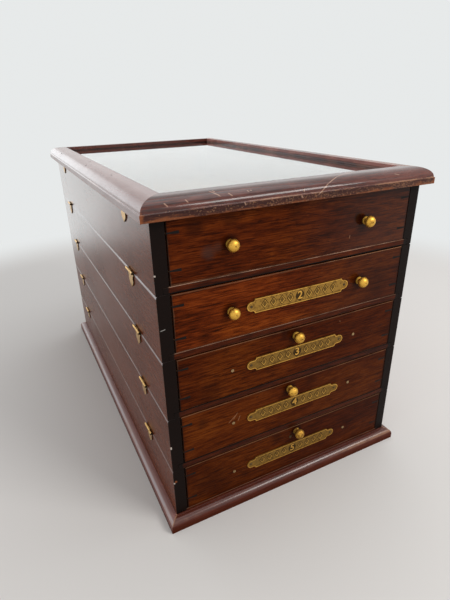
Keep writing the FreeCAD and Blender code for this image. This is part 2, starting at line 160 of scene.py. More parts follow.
class BrassSettings(bpy.types.PropertyGroup):
    """Colours of the brass fittings, and the raised figures of the nameplates."""

    rubbed: colour("Rubbed brass", "Brass kept bright by hands", (0.670, 0.375, 0.060))
    pale: colour("Pale brass", "Worn faces of the hinges", (0.640, 0.400, 0.150))
    plate: colour("Plate brass", "High parts of the nameplates", (0.620, 0.340, 0.068))
    stub: colour("Bolt ends", "Cut-off ends of the earlier knob bolts", (0.330, 0.220, 0.110))
    dull: colour("Dull brass", "Brass with an even brown bloom", (0.270, 0.130, 0.028))
    # Dark dirt, and on the hinges painted shade
    dirt: colour("Dirt", "Dark dirt in hollows", (0.020, 0.011, 0.005))
    figure_height: length("Figure height", "Height of the number on a nameplate", 8.4)
    figure_relief: length("Figure relief", "How far the number stands off the ground of its plate", 0.24)
    lozenge_length: length("Lozenge length", "Length of one lozenge of a nameplate's border", 6.0)
    lozenge_height: length("Lozenge height", "Height of one lozenge", 8.2)
    lozenge_rim: length("Lozenge rim", "Width of the raised line round a lozenge", 0.75)
    lozenge_pitch: length("Lozenge pitch", "From one lozenge to the next", 9.4)
    lozenge_count: IntProperty(name="Lozenges", description="Lozenges on each side of the number",
                               default=4, min=1, max=8)


class StageSettings(bpy.types.PropertyGroup):
    """Floor, backdrop, lamps and camera."""

    floor: colour("Floor", "Colour of the studio floor", (0.70, 0.69, 0.68))
    backdrop: colour("Backdrop", "Colour that the camera and reflections see behind the box",
                     (0.80, 0.82, 0.82))
    fade_start: length("Fade start", "Distance from the box at which the floor starts to fade", 700.0)
    fade_end: length("Fade end", "Distance at which the floor has become the backdrop", 1000.0)
    daylight: FloatProperty(name="Daylight", description="Strength of the soft light all round",
                            default=0.62, min=0.0, max=4.0)
    key_power: power("Key lamp", "Power of the large lamp", 16.0)
    top_power: power("Top lamp", "Power of the overhead lamp", 9.0)
    window_power: power("Window lamp", "Power of the lamp that the edges mirror", 6.0)
    camera_place: FloatVectorProperty(name="Camera", description="Where the camera stands",
                                      default=(-0.2308, -0.5546, 0.3984), subtype="TRANSLATION",
                                      unit="LENGTH")
    camera_yaw: angle("Yaw", "Turn from straight ahead towards the right", 26.139)
    camera_pitch: angle("Pitch", "How far the camera looks down", 24.477)
    camera_roll: angle("Roll", "Tilt of the camera about its own axis", 1.464)
    focal: FloatProperty(name="Focal length", description="For a frame 36 mm high", default=26.27,
                         subtype="DISTANCE_CAMERA")


# Shader maths

class Link:
    """A socket's value that Python's own operators work on; each adds its Math node."""

    def __init__(self, finish, socket):
        self.finish = finish
        self.socket = socket

    def maths(self, operation, first, second=0.0):
        return self.finish.node("ShaderNodeMath", {"operation": operation}, {0: first, 1: second})

    def __add__(self, other):
        return self.maths("ADD", self, other)

    __radd__ = __add__

    def __sub__(self, other):
        return self.maths("SUBTRACT", self, other)

    def __rsub__(self, other):
        return self.maths("SUBTRACT", other, self)

    def __mul__(self, other):
        return self.maths("MULTIPLY", self, other)

    __rmul__ = __mul__

    def __truediv__(self, other):
        return self.maths("DIVIDE", self, other)

    def __pow__(self, other):
        return self.maths("POWER", self, other)

    def __abs__(self):
        return self.maths("ABSOLUTE", self)

    def lesser(self, other):
        return self.maths("MINIMUM", self, other)

    def greater(self, other):
        return self.maths("MAXIMUM", self, other)

    def rise(self, low, high):
        """0 below one value and 1 above the other, with a smooth step between them."""
        return self.finish.node("ShaderNodeMapRange", {"interpolation_type": "SMOOTHSTEP"},
                                {"Value": self, "From Min": low, "From Max": high})

    def fall(self, low, high):
        """1 below one value and 0 above the other."""
        return 1.0 - self.rise(low, high)


class Tree:
    """A node tree that is built node by node."""

    def __init__(self, tree):
        self.tree = tree
        tree.nodes.clear()

    def node(self, kind, settings=None, inputs=None, output=0):
        """Add a node: its settings first, then the values or links of its sockets."""
        made = self.tree.nodes.new(kind)
        for key, value in (settings or {}).items():
            if key == "stops":
                ramp = made.color_ramp.elements
                while len(ramp) < len(value):
                    ramp.new(1.0)
                for stop, (position, shade) in zip(ramp, value):
                    stop.position = position
                    stop.color = (*shade, 1.0)
            else:
                setattr(made, key, value)
        for key, value in (inputs or {}).items():
            if isinstance(value, Link):
                self.tree.links.new(value.socket, made.inputs[key])
            elif made.inputs[key].type == "RGBA":
                made.inputs[key].default_value = (*value, 1.0)
            else:
                made.inputs[key].default_value = value
        return Link(self, made.outputs[output])

    def show(self, shader, kind="ShaderNodeOutputMaterial"):
        """Link a finished shader to the output."""
        self.tree.links.new(shader.socket, self.tree.nodes.new(kind).inputs[0])

    def rays(self, *kinds):
        """1 for rays of the named kinds and 0 for all others."""
        path = self.tree.nodes.new("ShaderNodeLightPath")
        result = Link(self, path.outputs[kinds[0]])
        for kind in kinds[1:]:
            result = result.greater(Link(self, path.outputs[kind]))
        return result

    def backdrop(self, kind):
        """The pale backdrop: as it is written for the camera, a little brighter in reflections."""
        tone = bpy.context.scene.box_stage.backdrop
        plain = self.node(kind, None, {"Color": tone, "Strength": 1.0})
        bright = self.node(kind, None, {"Color": tone, "Strength": 1.25})
        return self.node("ShaderNodeMixShader", None, {0: self.rays("Is Glossy Ray"), 1: plain, 2: bright})


class Finish(Tree):
    """The node tree of one finish, with the settings that it draws on."""

    def __init__(self, name):
        self.wood = bpy.context.scene.box_wood
        self.metal = bpy.context.scene.box_brass
        self.material = bpy.data.materials.new(name)
        self.material.use_nodes = True
        super().__init__(self.material.node_tree)

    def place(self):
        return self.node("ShaderNodeTexCoord", output="Object")

    def facing(self):
        """The surface's normal in the box's own frame, as three values."""
        return self.parts(self.node("ShaderNodeTexCoord", output="Normal"))

    def parts(self, vector):
        split = self.node("ShaderNodeSeparateXYZ", None, {0: vector})
        return [Link(self, socket) for socket in split.socket.node.outputs]

    def shifted(self, vector, seed, scale):
        """Coordinates stretched for a pattern, and moved by an amount that differs from piece to piece."""
        offset = (7.31 * seed % 11.0, 3.77 * seed % 7.0, 5.19 * seed % 13.0)
        return self.node("ShaderNodeMapping", None, {"Vector": vector, "Location": offset, "Scale": scale})

    def noise(self, vector, seed, scale, detail=2.0, roughness=0.5, distortion=0.0):
        scale = scale if isinstance(scale, tuple) else (scale, scale, scale)
        return self.node("ShaderNodeTexNoise", {"noise_dimensions": "3D"},
                         {"Vector": self.shifted(vector, seed, scale), "Scale": 1.0, "Detail": detail,
                          "Roughness": roughness, "Distortion": distortion})

    def blend(self, share_of_second, first, second):
        return self.node("ShaderNodeMix", {"data_type": "RGBA"}, {0: share_of_second, 6: first, 7: second}, 2)

    def ramp(self, value, *stops):
        return self.node("ShaderNodeValToRGB", {"stops": stops}, {0: value})

    def bump(self, height, depth):
        return self.node("ShaderNodeBump", None, {"Strength": 1.0, "Distance": depth, "Height": height})

    def surface(self, inputs):
        self.show(self.node("ShaderNodeBsdfPrincipled", None, inputs))
        return self.material


# The patterns of a mahogany board that its marks are broken up with
Grain = namedtuple("Grain", ("mottle", "streaks", "clouds"))


def along(axis, lengthwise, across):
    """Pattern scale of a grain that runs along one axis."""
    return tuple(lengthwise if name == axis else across for name in "XYZ")


def edge_distance(x, y, z, low, high):
    """How far a point on a box-shaped board, or on its mirror twin, is from the nearest edge."""
    a, b, c = (half - abs(abs(value) - middle if twin else value - middle)
               for value, middle, half, twin in (
                   (x, (low.x + high.x) / 2, (high.x - low.x) / 2, low.x > 0),
                   (y, (low.y + high.y) / 2, (high.y - low.y) / 2, False),
                   (z, (low.z + high.z) / 2, (high.z - low.z) / 2, False)))
    return a.lesser(b).greater(a.greater(b).lesser(c))


def spot(u, v, centre, radius, softness):
    """A round patch on a face: 1 at the middle, 0 past its soft edge."""
    away = ((u - centre[0]) * (u - centre[0]) + (v - centre[1]) * (v - centre[1])) ** 0.5
    return away.fall(radius, radius + softness)


def scratch(u, v, start, end, width):
    """A straight thin mark on a face between two points."""
    run = (end[0] - start[0], end[1] - start[1])
    reach = math.hypot(*run)
    ahead = (run[0] / reach, run[1] / reach)
    far = (u - start[0]) * ahead[0] + (v - start[1]) * ahead[1]
    off = abs((u - start[0]) * ahead[1] - (v - start[1]) * ahead[0])
    return off.fall(width * 0.3, width) * far.rise(0.0, reach * 0.2) * far.fall(reach * 0.8, reach)


def toned(wood, names, tone):
    """Colours from the settings, made darker or lighter."""
    return [[tone * value for value in getattr(wood, name)] for name in names]


def mahogany(name, seed, axis, kind, amber=None, tone=1.0, solid=None, gloss=None, figure=1.0, marks=None,
             worn=0.5, warm=(0.42, 0.66), sheen=0.2, polish=0.0, lacquer=None):
    """Polished mahogany: bands, streaks and pores along the grain, amber patches, worn and dirty edges."""
    f = Finish(name)
    dark = getattr(f.wood, kind + "_dark")
    plain = toned(f.wood, (kind + "_mid", kind + "_light"), tone)
    amber = toned(f.wood, amber, tone) if amber else plain
    gloss = f.wood.gloss if gloss is None else gloss
    place = f.place()
    at = f.parts(place)
    bands = f.noise(place, seed, along(axis, 4.0, 30.0), 3.0, 0.5, 0.6)
    streaks = f.noise(place, seed + 3, along(axis, 45.0, 760.0), 5.0, 0.70, 0.5)
    mottle = f.noise(place, seed + 5, along(axis, 38.0, 95.0), 4.0, 0.65)
    clouds = f.noise(place, seed + 9, along(axis, 7.0, 12.0), 2.0)
    pores = f.noise(place, seed + 12, along(axis, 110.0, 1100.0), 2.0)
    depth = (0.22 * bands + 0.64 * streaks + 0.14 * mottle).rise(0.5 - 0.15 * figure, 0.5 + 0.15 * figure)
    shade = f.blend(clouds.rise(*warm), f.ramp(depth, (0.0, dark), (0.5, plain[0]), (1.0, plain[1])),
                    f.ramp(depth, (0.0, dark), (0.42, amber[0]), (1.0, amber[1])))
    pore = pores.rise(0.60, 0.70)
    shade = f.blend(0.6 * pore, shade, dark)
    dull = gloss + 0.10 * (clouds - 0.5) + 0.10 * (mottle - 0.5)
    if solid:
        edge = edge_distance(*at, *solid)
        grime = (edge + 0.006 * (mottle - 0.5)).fall(0.0, 0.004)
        shade = f.blend(0.35 * grime, shade, dark)
        rub = (edge + 0.0030 * (mottle - 0.5) + 0.0050 * (clouds - 0.5)).fall(0.0, 0.0006)
        shade = f.blend(worn * rub, shade, f.wood.bare)
        dull = dull + 0.15 * rub
    if marks:
        shade, dull = marks(f, at, Grain(mottle, streaks, clouds), shade, dull)
    if callable(polish):
        polish = polish(at, mottle)
    return f.surface({"Base Color": shade, "Roughness": dull, "IOR": 1.45, "Specular IOR Level": sheen,
                      "Coat Weight": polish, "Coat Roughness": lacquer or f.wood.lacquer,
                      "Normal": f.bump(0.5 * streaks - pore, 0.00005)})


def lining(name, seed, axis, marks=None):
    """The plain inner wood, waxed rather than polished."""
    f = Finish(name)
    place = f.place()
    bands = f.noise(place, seed, along(axis, 3.0, 45.0), 3.0, 0.5, 0.5)
    streaks = f.noise(place, seed + 3, along(axis, 18.0, 420.0), 4.0, 0.65)
    clouds = f.noise(place, seed + 9, 14.0, 3.0)
    depth = (0.5 * bands + 0.5 * streaks).rise(0.34, 0.66)
    shade = f.ramp(depth, (0.0, f.wood.lining_dark), (1.0, f.wood.lining_light))
    shade = f.blend(0.5 * clouds.rise(0.5, 0.75), shade, f.wood.lining_dark)
    dull = 0.55 + 0.15 * (clouds - 0.5)
    if marks:
        shade, dull = marks(f, f.parts(place), shade, dull)
    return f.surface({"Base Color": shade, "Roughness": dull, "Specular IOR Level": 0.12,
                      "Normal": f.bump(streaks, 0.00012)})


def brass(name, seed, kind, dullness, dirt, rough=0.30):
    """Old brass: rubbed bright in places, brown in others, dark where grime gathers and, on the hinges, with
    painted shade.
    """
    f = Finish(name)
    place = f.place()
    bloom = f.noise(place, seed, 260.0, 4.0, 0.6)
    fine = f.noise(place, seed + 4, 1400.0, 2.0)
    stain = (0.75 * bloom + 0.25 * fine).rise(0.62 - 0.3 * dullness, 0.82 - 0.3 * dullness)
    soil_and_shade = dirt(f, f.parts(place), bloom)
    shade = f.blend(stain, getattr(f.metal, kind), f.metal.dull)
    return f.surface({"Base Color": f.blend(soil_and_shade, shade, f.metal.dirt),
                      "Metallic": 1.0 - 0.15 * stain - 0.7 * soil_and_shade,
                      "Roughness": rough + 0.20 * stain + 0.08 * fine + 0.3 * soil_and_shade,
                      "Specular IOR Level": 0.08,
                      "Normal": f.bump(0.6 * bloom + 0.4 * fine, 0.00008)})


# Modelling helpers

def only(piece):
    """Select one piece alone and make it the active one."""
    bpy.ops.object.select_all(action="DESELECT")
    piece.select_set(True)
    bpy.context.view_layer.objects.active = piece


def edit(piece):
    """Go into edit mode on one piece."""
    only(piece)
    bpy.ops.object.mode_set(mode="EDIT")


def done():
    """Back to object mode."""
    bpy.ops.object.mode_set(mode="OBJECT")


def pick_edges(piece, test):
    """Select the edges that pass a test on their two ends and the angle between their faces."""
    edit(piece)
    bpy.ops.mesh.select_mode(type="EDGE")
    bpy.ops.mesh.select_all(action="DESELECT")
    done()
    mesh = piece.data
    normals = {}
    for face in mesh.polygons:
        for key in face.edge_keys:
            normals.setdefault(key, []).append(face.normal)
    count = 0
    for side in mesh.edges:
        pair = normals.get(side.key, [])
        ends = [mesh.vertices[index].co for index in side.vertices]
        if len(pair) == 2 and test(ends[0], ends[1], pair[0].angle(pair[1], 0.0)):
            side.select = True
            count += 1
    if not count:
        raise RuntimeError("no edge to work on in %s" % piece.name)
    bpy.ops.object.mode_set(mode="EDIT")


def even_shading(piece):
    """Smooth shading that keeps flat faces flat."""
    only(piece)
    bpy.ops.object.shade_smooth_by_angle(angle=SMOOTH_TURN)
    bpy.ops.object.modifier_add(type="WEIGHTED_NORMAL")
    piece.modifiers[-1].keep_sharp = True
    bpy.ops.object.modifier_apply(modifier=piece.modifiers[-1].name)


def softened_copy(node, name, width):
    """A copy of a board with its long edges rounded."""
    piece = bpy.data.objects.new(name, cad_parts[node].data.copy())
    bpy.context.scene.collection.objects.link(piece)
    edit(piece)
    bpy.ops.mesh.select_all(action="SELECT")
    bpy.ops.mesh.customdata_custom_splitnormals_clear()
    bpy.ops.mesh.remove_doubles(threshold=TOUCH)
    bpy.ops.mesh.dissolve_limited(angle_limit=math.radians(1.0))
    done()
    pick_edges(piece, lambda a, b, turn: (a - b).length >= SHORTEST_EDGE and turn > BOARD_TURN)
    bpy.ops.mesh.bevel(offset=width, segments=2, affect="EDGES")
    done()
    even_shading(piece)
    return piece


def put(piece, body, slot, finish, *nodes):
    """Give a new piece its finish, its body and the CAD nodes that it stands for."""
    piece.data.materials.clear()
    piece.data.materials.append(finish)
    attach(piece, body)
    if nodes:
        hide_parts(*nodes)


def dress(node, finish):
    """Give a CAD node a finish."""
    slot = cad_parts[node].material_slots[0]
    slot.link = "OBJECT"
    slot.material = finish


def case_body(number):
    return "base_case" if number == LOWEST_CASE else "case_%d" % number


def bar(name, outline, place, start, end):
    """A bar: a drawn section, extruded from one place along its run to another."""
    bpy.ops.object.select_all(action="DESELECT")
    bpy.ops.mesh.primitive_circle_add(vertices=len(outline), radius=0.01, fill_type="NGON")
    piece = bpy.context.object
    piece.name = name
    for vertex, point in zip(piece.data.vertices, outline):
        vertex.co = place(*point, start)
    run = place(*outline[0], end) - place(*outline[0], start)
    edit(piece)
    bpy.ops.mesh.select_all(action="SELECT")
    bpy.ops.mesh.extrude_region_move(TRANSFORM_OT_translate={"value": run})
    bpy.ops.mesh.select_all(action="SELECT")
    bpy.ops.mesh.normals_make_consistent(inside=False)
    done()
    return piece


def cut(piece, cutters):
    """Cut other pieces out of one, and take them away."""
    for cutter in cutters:
        only(piece)
        bpy.ops.object.modifier_add(type="BOOLEAN")
        modifier = piece.modifiers[-1]
        modifier.operation = "DIFFERENCE"
        modifier.solver = "EXACT"
        modifier.object = cutter
        bpy.ops.object.modifier_apply(modifier=modifier.name)
        bpy.data.objects.remove(cutter)


def block(low, high):
    """A block between two corners, to cut with."""
    bpy.ops.object.select_all(action="DESELECT")
    middle = [(a + b) / 2 for a, b in zip(low, high)]
    bpy.ops.mesh.primitive_cube_add(size=1.0, location=middle)
    bpy.context.object.scale = [b - a for a, b in zip(low, high)]
    bpy.ops.object.transform_apply(location=True, rotation=True, scale=True)
    return bpy.context.object


def rod(middle, radius, reach):
    """A round bar along the depth, to cut with."""
    bpy.ops.object.select_all(action="DESELECT")
    bpy.ops.mesh.primitive_cylinder_add(vertices=32, radius=radius, depth=reach, location=middle,
                                        rotation=(math.pi / 2, 0.0, 0.0))
    bpy.ops.object.transform_apply(location=True, rotation=True, scale=True)
    return bpy.context.object


def mortise(y, floor, depth):
    """Room for a flat hinge leaf in an underside."""
    return block((HINGE_X, y - HINGE_HALF, floor), (LEAF_INNER_X, y + HINGE_HALF, floor + depth))


def quarter_turn(start, end, steps, first_up):
    """Points of a quarter of an ellipse between two corners, without the first."""
    points = []
    for step in range(1, steps + 1):
        turn = math.pi / 2 * step / steps
        parts = (math.sin(turn), 1 - math.cos(turn))
        parts = parts[::-1] if first_up else parts
        points.append(tuple(a + (b - a) * part for a, b, part in zip(start, end, parts)))
    return points


def knob_places(number):
    """Middle of each knob on a drawer front, as x and z."""
    low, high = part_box("drawer_%d_knobs" % number)
    x, z = (low.x + high.x) / 2, (low.z + high.z) / 2
    return [(-KNOB_SPREAD, z), (KNOB_SPREAD, z)] if number in PAIRED_KNOBS else [(x, z)]


def mitre_normal(place, sign, reach):
    """Normal of the mitre plane at one end of a bar, pointing away from the bar's middle."""
    inward = 10 * MM
    corner = place(0.0, 0.0, sign * reach)
    slope = (place(inward, 0.0, sign * (reach - inward)) - corner).normalized()
    normal = Vector((-slope.y, slope.x, 0.0))
    return -normal if normal.dot(place(0.0, 0.0, 0.0) - corner) > 0 else normal


def on_mitre(point, place, reach):
    """Whether a point lies on one of the two mitre planes of a frame's bar."""
    return any(abs((point - place(0.0, 0.0, sign * reach)).dot(mitre_normal(place, sign, reach))) < 2 * TOUCH
               for sign in (-1, 1))


def frame_bars(part, section, floor, seed, body, nodes, wear, shine, lacquers, sheen, cutters=None):
    """The four mitred bars of a moulded frame; the second of the two lacquers is the left bar's."""
    wood = bpy.context.scene.box_wood
    half_x, half_y = FRAME_HALF_X * MM, FRAME_HALF_Y * MM
    section = [(u * MM, v * MM) for u, v in section]
    sides = {
        "front": ("X", lambda u, v, w: Vector((w, -half_y + u, floor + v)), half_x),
        "rear": ("X", lambda u, v, w: Vector((-w, half_y - u, floor + v)), half_x),
        "left": ("Y", lambda u, v, w: Vector((-half_x + u, -w, floor + v)), half_y),
        "right": ("Y", lambda u, v, w: Vector((half_x - u, w, floor + v)), half_y),
    }
    for number, (side, (axis, place, reach)) in enumerate(sides.items()):
        piece = bar("%s_%s" % (part, side), section, place, -reach, reach)
        for sign in (-1, 1):
            edit(piece)
            bpy.ops.mesh.select_all(action="SELECT")
            bpy.ops.mesh.bisect(plane_co=place(0.0, 0.0, sign * reach),
                                plane_no=mitre_normal(place, sign, reach), use_fill=True, clear_outer=True)
            done()
        pick_edges(piece, lambda a, b, turn, p=place, r=reach: turn > MITRE_TURN
                   and on_mitre(a, p, r) and on_mitre(b, p, r))
        bpy.ops.mesh.bevel(offset=wood.mitre, segments=2, affect="EDGES")
        done()
        if cutters and side == "left":
            cut(piece, cutters())
        even_shading(piece)
        finish = mahogany("%s_%s_wood" % (part, side), seed + number * 17, axis, "plum", figure=1.1,
                          marks=wear(side), sheen=sheen, polish=shine(side), lacquer=lacquers[side == "left"])
        put(piece, body, "polished_mahogany", finish, nodes[number // 2])


# The pieces

class BOX_OT_base(bpy.types.Operator):
    """Base moulding with softened edges, and the board inside it"""

    bl_idname = "flatware_box.base"
    bl_label = "Base"

    def execute(self, context):
        section = [(0.0, 0.0), (0.0, 5.5)] + quarter_turn((0.0, 5.5), (7.0, 13.0), 12, True)
        section += [(7.7, 13.0), (7.7, 14.0), (9.0, 14.0), (9.0, 0.0)]
        frame_bars("base", section, 0.0, 11, "base_case", ("base_rails", "base_stiles"), base_wear,
                   base_polish, (0.24, 0.24), 0.05)
        dress("base_board", mahogany("base_board_wood", 71, "Y", "case", gloss=0.5))
        return {"FINISHED"}


def base_polish(side):
    """Top coat of one moulding of the base: none at the foot, and a little thinner on the left, which carries
    a painted sheen.
    """
    most = 0.8 if side == "left" else 0.9
    return lambda at, mottle: most * at[2].rise(0.0060, 0.0105)


def base_wear(side):
    """Scuffs along the arris and mitres of the base moulding, a red-brown foot, and on the left a paler rosy
    tone that is partly painted sheen, with a painted highlight along the arris.
    """
    def marks(f, at, grain, shade, dull):
        x, y, z = at
        arris = z.rise(0.0085, 0.0095) * z.fall(0.0110, 0.0125)
        if side == "left":
            # On the left: painted sheen over the moulding and a painted highlight along its arris
            shade = f.blend(0.65, shade, f.wood.faded)
            shade = f.blend(0.65 * arris, shade, f.wood.rubbed_ledge)
        else:
            shade = f.blend(0.40, shade, f.wood.front_mid)
        scuff = arris * (0.6 * grain.clouds + 0.4 * grain.mottle).rise(0.46, 0.58)
        off_mitre = abs(abs(x) - abs(y) + (FRAME_HALF_Y - FRAME_HALF_X) * MM)
        mitre = off_mitre.fall(0.0004, 0.0012) * z.rise(0.0080, 0.0100)
        shade = f.blend((0.45 * scuff).greater(0.55 * mitre), shade, f.wood.bare)
        foot = (z + 0.003 * (grain.mottle - 0.5)).fall(0.0010, 0.0085)
        return f.blend(0.85 * foot, shade, f.wood.front_mid), dull + 0.12 * scuff + 0.25 * foot
    return marks


class BOX_OT_case_sides(bpy.types.Operator):
    """Side boards of the cases: rounded outer edges, blackened ends, mortises for the hinge leaves"""

    bl_idname = "flatware_box.case_sides"
    bl_label = "Case Sides"

    def execute(self, context):
        wood = context.scene.box_wood
        for number in CASES:
            low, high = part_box("case_%d_sides" % number)
            floor, top, ledge = low.z / MM, high.z / MM, wood.ledge / MM
            outline = [(SIDE_X, floor), (SEAT_X, floor), (SEAT_X, floor + SEAT_HEIGHT),
                       (SIDE_INNER_X, floor + SEAT_HEIGHT), (SIDE_INNER_X, top), (SIDE_X - ledge, top)]
            outline += quarter_turn((SIDE_X - ledge, top), (SIDE_X, top - ledge), 6, False)
            outline = [(u * MM, v * MM) for u, v in outline]
            solid = (Vector((SIDE_INNER_X * MM, low.y, low.z)), Vector((SIDE_X * MM, high.y, high.z)))
            for side, sign in (("left", -1.0), ("right", 1.0)):
                piece = bar("case_%d_%s_side" % (number, side), outline,
                            lambda u, v, w, s=sign: Vector((s * u, w, v)), low.y, high.y)
                pick_edges(piece, lambda a, b, turn: turn > BOARD_TURN and abs(a.y - b.y) < TOUCH)
                bpy.ops.mesh.bevel(offset=wood.arris, segments=2, affect="EDGES", clamp_overlap=True)
                done()
                if side == "left" and number < LOWEST_CASE:
                    cut(piece, [mortise(y, low.z, LEAF_DEPTH) for y in HINGE_PLACES])
                even_shading(piece)
                finish = mahogany("case_%d_%s_wood" % (number, side), 23 * number + (side == "right"), "Y",
                                  "case", ("amber_mid", "case_light"), solid=solid, figure=1.8,
                                  marks=side_marks(high.z), worn=0.3, sheen=0.06, polish=side_polish(high.z))
                put(piece, case_body(number), "polished_mahogany", finish, "case_%d_sides" % number)
        return {"FINISHED"}


def side_polish(top):
    """Top coat of a side: bright high up, at the rear and along the ledge, thin low down in front."""
    def polish(at, mottle):
        height = at[2] + 0.33 * at[1] + 0.02 * (mottle - 0.5)
        ledge = at[2].rise(top - 0.0032, top - 0.0024)
        flat = abs(at[1]).fall(-FRONT_Y - 0.0006, -FRONT_Y - 0.0003)
        return flat * (0.05 + 0.95 * height.rise(0.195, 0.290)).greater(0.9 * ledge)
    return polish


# Nicks on the front corner of the left side, in millimetres: height above the floor and half length
NICKS = ((275.0, 0.5), (101.0, 1.3), (56.0, 0.6))


def side_marks(top):
    """Near-black stain on the front end of a side, and a painted sheen along its ledge, partly rubbed polish.
    """
    def marks(f, at, grain, shade, dull):
        x, y, z = at
        left = x.fall(-0.001, 0.001)
        # The pale line along the ledge is painted sheen: strongest on the left, towards the front and on the
        # upper cases
        patches = 0.45 + 0.55 * (0.5 * grain.mottle + 0.5 * grain.clouds).rise(0.40, 0.52)
        near = y.fall(-0.15, 0.05) * left
        amount = 0.10 + (2.6 * top - 0.05) * (0.35 + 0.65 * near) * left
        ledge = z.rise(top - 0.0030, top - 0.0022) * patches * amount
        shade = f.blend(ledge, shade, f.wood.rubbed_ledge)
        end = y.fall(FRONT_Y + 0.0003, FRONT_Y + 0.0006)
        shade = f.blend(end, shade, f.blend(0.08 * grain.mottle, f.wood.blackened, f.wood.case_dark))
        corner = y.fall(FRONT_Y + 0.0009, FRONT_Y + 0.0012) * x.fall(-0.1388, -0.1385)
        for height, half in NICKS:
            off = abs(z - height * MM + 0.001 * (grain.mottle - 0.5))
            shade = f.blend(0.8 * corner * off.fall(half * MM, (half + 0.4) * MM), shade, f.wood.nick)
        dash = scratch(x, z, (-0.1394, 0.2262), (-0.1342, 0.2271), 0.0005)
        shade = f.blend(0.7 * dash * end, shade, f.wood.dash)
        shade = f.blend(0.8 * spot(x, z, (-0.1377, 0.0576), 0.0009, 0.0008) * end, shade, f.wood.chip)
        return shade, dull + 0.15 * end - 0.1 * ledge
    return marks


class BOX_OT_case_boards(bpy.types.Operator):
    """Bottom boards, whose front edges are the rails under the drawers, and the backs"""

    bl_idname = "flatware_box.case_boards"
    bl_label = "Case Bottoms and Backs"

    def execute(self, context):
        wood = context.scene.box_wood
        for number in CASES:
            node = "case_%d_bottom" % number
            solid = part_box(node)
            piece = softened_copy(node, "case_%d_rail" % number, wood.arris)
            finish = mahogany("case_%d_rail_wood" % number, 31 * number, "X", "front", solid=solid, worn=0.1,
                              sheen=0.07, marks=rubbed_rail(number, *solid))
            put(piece, case_body(number), "polished_mahogany", finish, node)
            node = "case_%d_back" % number
            dress(node, mahogany("case_%d_back_wood" % number, 37 * number, "X", "case",
                                 ("amber_mid", "amber_light"), solid=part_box(node), gloss=0.36, sheen=0.4,
                                 warm=(0.6, 0.9)))
        return {"FINISHED"}


# How far the upper edges of the rails and of the drawer fronts are rubbed pale (a rail with none gets a
# painted shadow there), and the tone of each rail
RAIL_LINES = {1: 0.85, 2: 0.50, 3: 0.0, 4: 0.0, 5: 0.20}
FRONT_LINES = {1: 0.0, 2: 0.60, 3: 0.42, 4: 0.42, 5: 0.36}
RAIL_TONES = {1: 1.0, 2: 0.9, 3: 0.7, 4: 0.7, 5: 1.0}


def edge_line(at, grain, top):
    """A thin line along an upper front edge, weaker where the polish has held."""
    line = at[2].rise(top - 0.0007, top - 0.0003) * at[1].fall(FRONT_Y + 0.0004, FRONT_Y + 0.0009)
    return line * (0.2 + 0.8 * (0.5 * grain.clouds + 0.5 * grain.mottle).rise(0.43, 0.55))


def rubbed_rail(number, low, high):
    """The worn upper edge of a rail, or on rails without one a painted shadow along it, its stained ends and,
    under the first, a painted shadow in the open seam.
    """
    def marks(f, at, grain, shade, dull):
        shade = f.blend(1.0 - RAIL_TONES[number], shade, f.wood.blackened)
        line = edge_line(at, grain, high.z)
        if RAIL_LINES[number]:
            shade = f.blend(RAIL_LINES[number] * line, shade, f.wood.worn_line)
        else:
            # Painted shadow along the top of a rail whose edge has no worn line
            shade = f.blend(at[2].rise(high.z - 0.0010, high.z - 0.0005), shade, f.wood.blackened)
        if number == 1:
            # Painted shadow in the open seam under the first rail
            shade = f.blend(at[2].fall(low.z + 0.0009, low.z + 0.0014), shade, f.wood.blackened)
        end = (abs(at[0]) + 0.004 * (grain.mottle - 0.5)).rise(0.1275, 0.1300)
        return f.blend(0.95 * end, shade, f.wood.blackened), dull + 0.1 * line
    return marks


# Of each drawer front: how much painted shade darkens its right end, how light its wood is and how full its
# top coat is
RIGHT_END_SHADE = {1: 0.50, 2: 0.70, 3: 0.25, 4: 0.30, 5: 0.10}
FRONT_TONES = {1: 1.08, 2: 1.60, 3: 0.88, 4: 0.85, 5: 0.76}
FRONT_COATS = {1: 0.22, 2: 0.09, 3: 0.02, 4: 0.02, 5: 0.02}


class BOX_OT_drawer_fronts(bpy.types.Operator):
    """Drawer fronts with softened edges"""

    bl_idname = "flatware_box.drawer_fronts"
    bl_label = "Drawer Fronts"

    def execute(self, context):
        for number in CASES:
            node = "drawer_%d_front" % number
            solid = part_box(node)
            piece = softened_copy(node, "drawer_%d_face" % number, context.scene.box_wood.arris)
            finish = mahogany("drawer_%d_front_wood" % number, 41 * number, "X", "front",
                              ("amber_mid", "amber_light"), FRONT_TONES[number], solid=solid,
                              marks=handled_front(number, solid[1]), worn=0.16, sheen=0.03,
                              polish=front_polish(number))
            put(piece, "drawer_%d" % number, "drawer_front_mahogany", finish, node)
        return {"FINISHED"}


def front_polish(number):
    """Top coat of a front, which is fuller to the right."""
    return lambda at, mottle: FRONT_COATS[number] * (at[0] + 0.03 * (mottle - 0.5)).rise(-0.03, 0.10)


